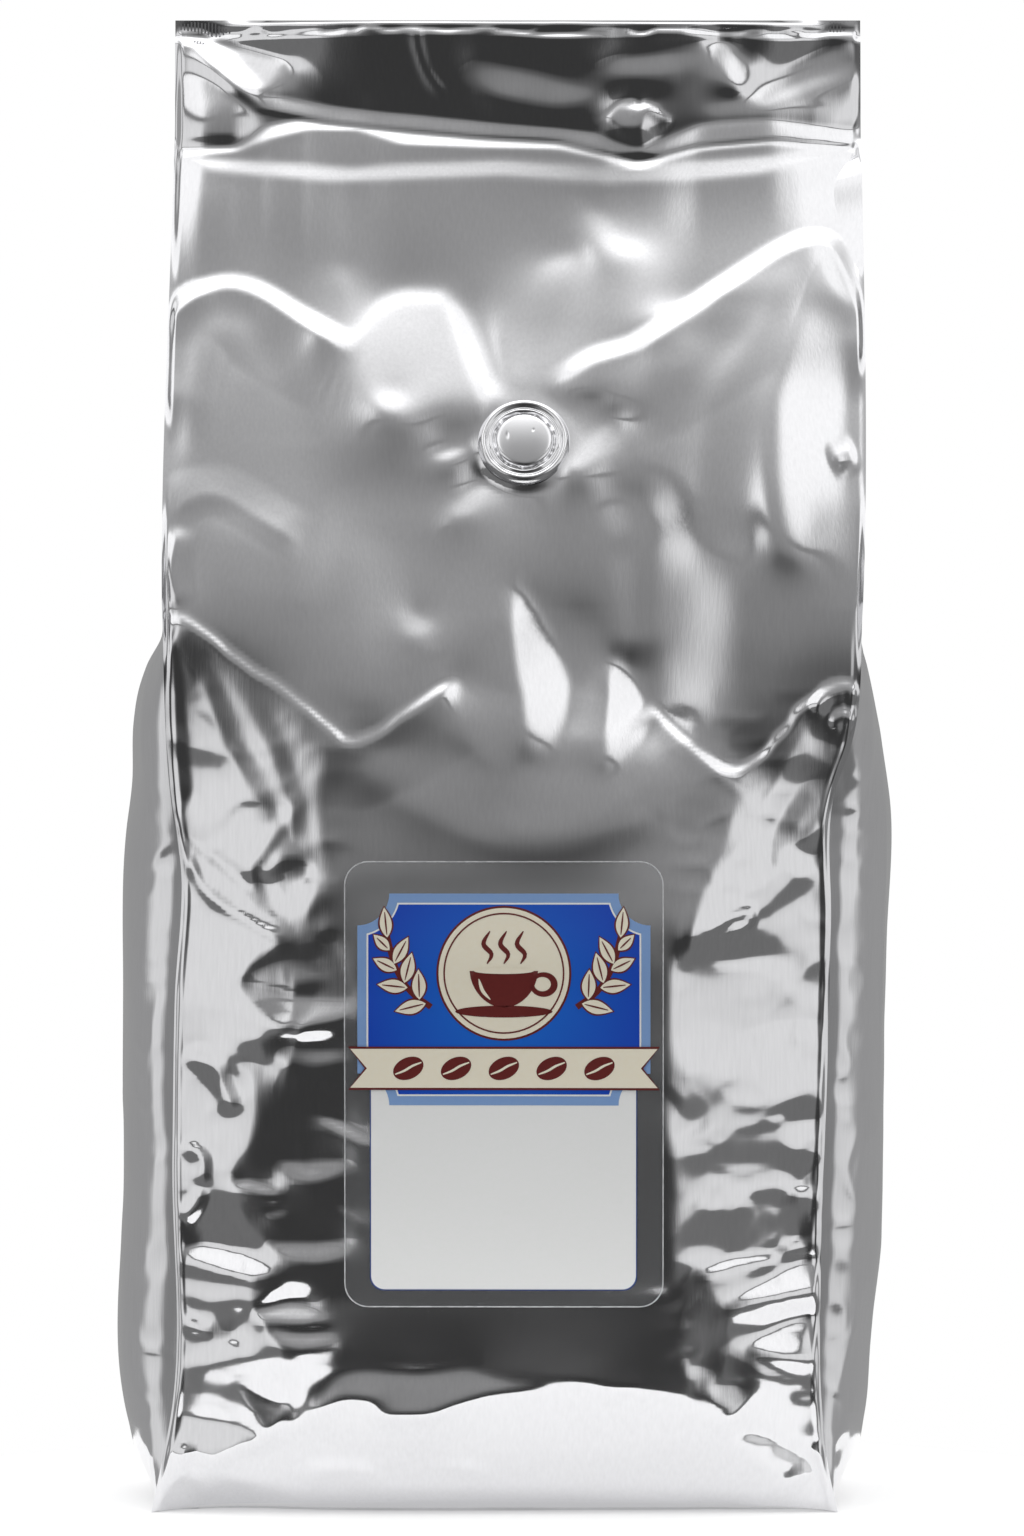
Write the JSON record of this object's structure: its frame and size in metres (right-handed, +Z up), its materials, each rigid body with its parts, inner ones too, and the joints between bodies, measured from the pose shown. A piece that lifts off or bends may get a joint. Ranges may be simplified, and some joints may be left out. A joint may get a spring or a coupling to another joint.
{
  "type": "coffee bag",
  "caption": "Filled side-gusset coffee bag of silver metallised film, standing upright, with a sealed head, a round degassing valve and a clear label.",
  "frame": {"origin": "middle of the bag's footprint on the surface that it stands on", "axes": "+Z up along the bag's height, -Y out of the front panel with the valve and label, +X to the right seen from the front"},
  "size_m": [0.199, 0.1358, 0.383],
  "materials": {
    "metallised_film": "glossy metallised plastic film with folds and crumples",
    "label_film": "clear glossy film printed with a white field and a blue panel",
    "valve_foil": "glossy film pressed over a moulded valve"
  },
  "bodies": {
    "root": {"bag": "metallised_film", "label": "label_film", "valve": "valve_foil"}
  },
  "joints": []
}
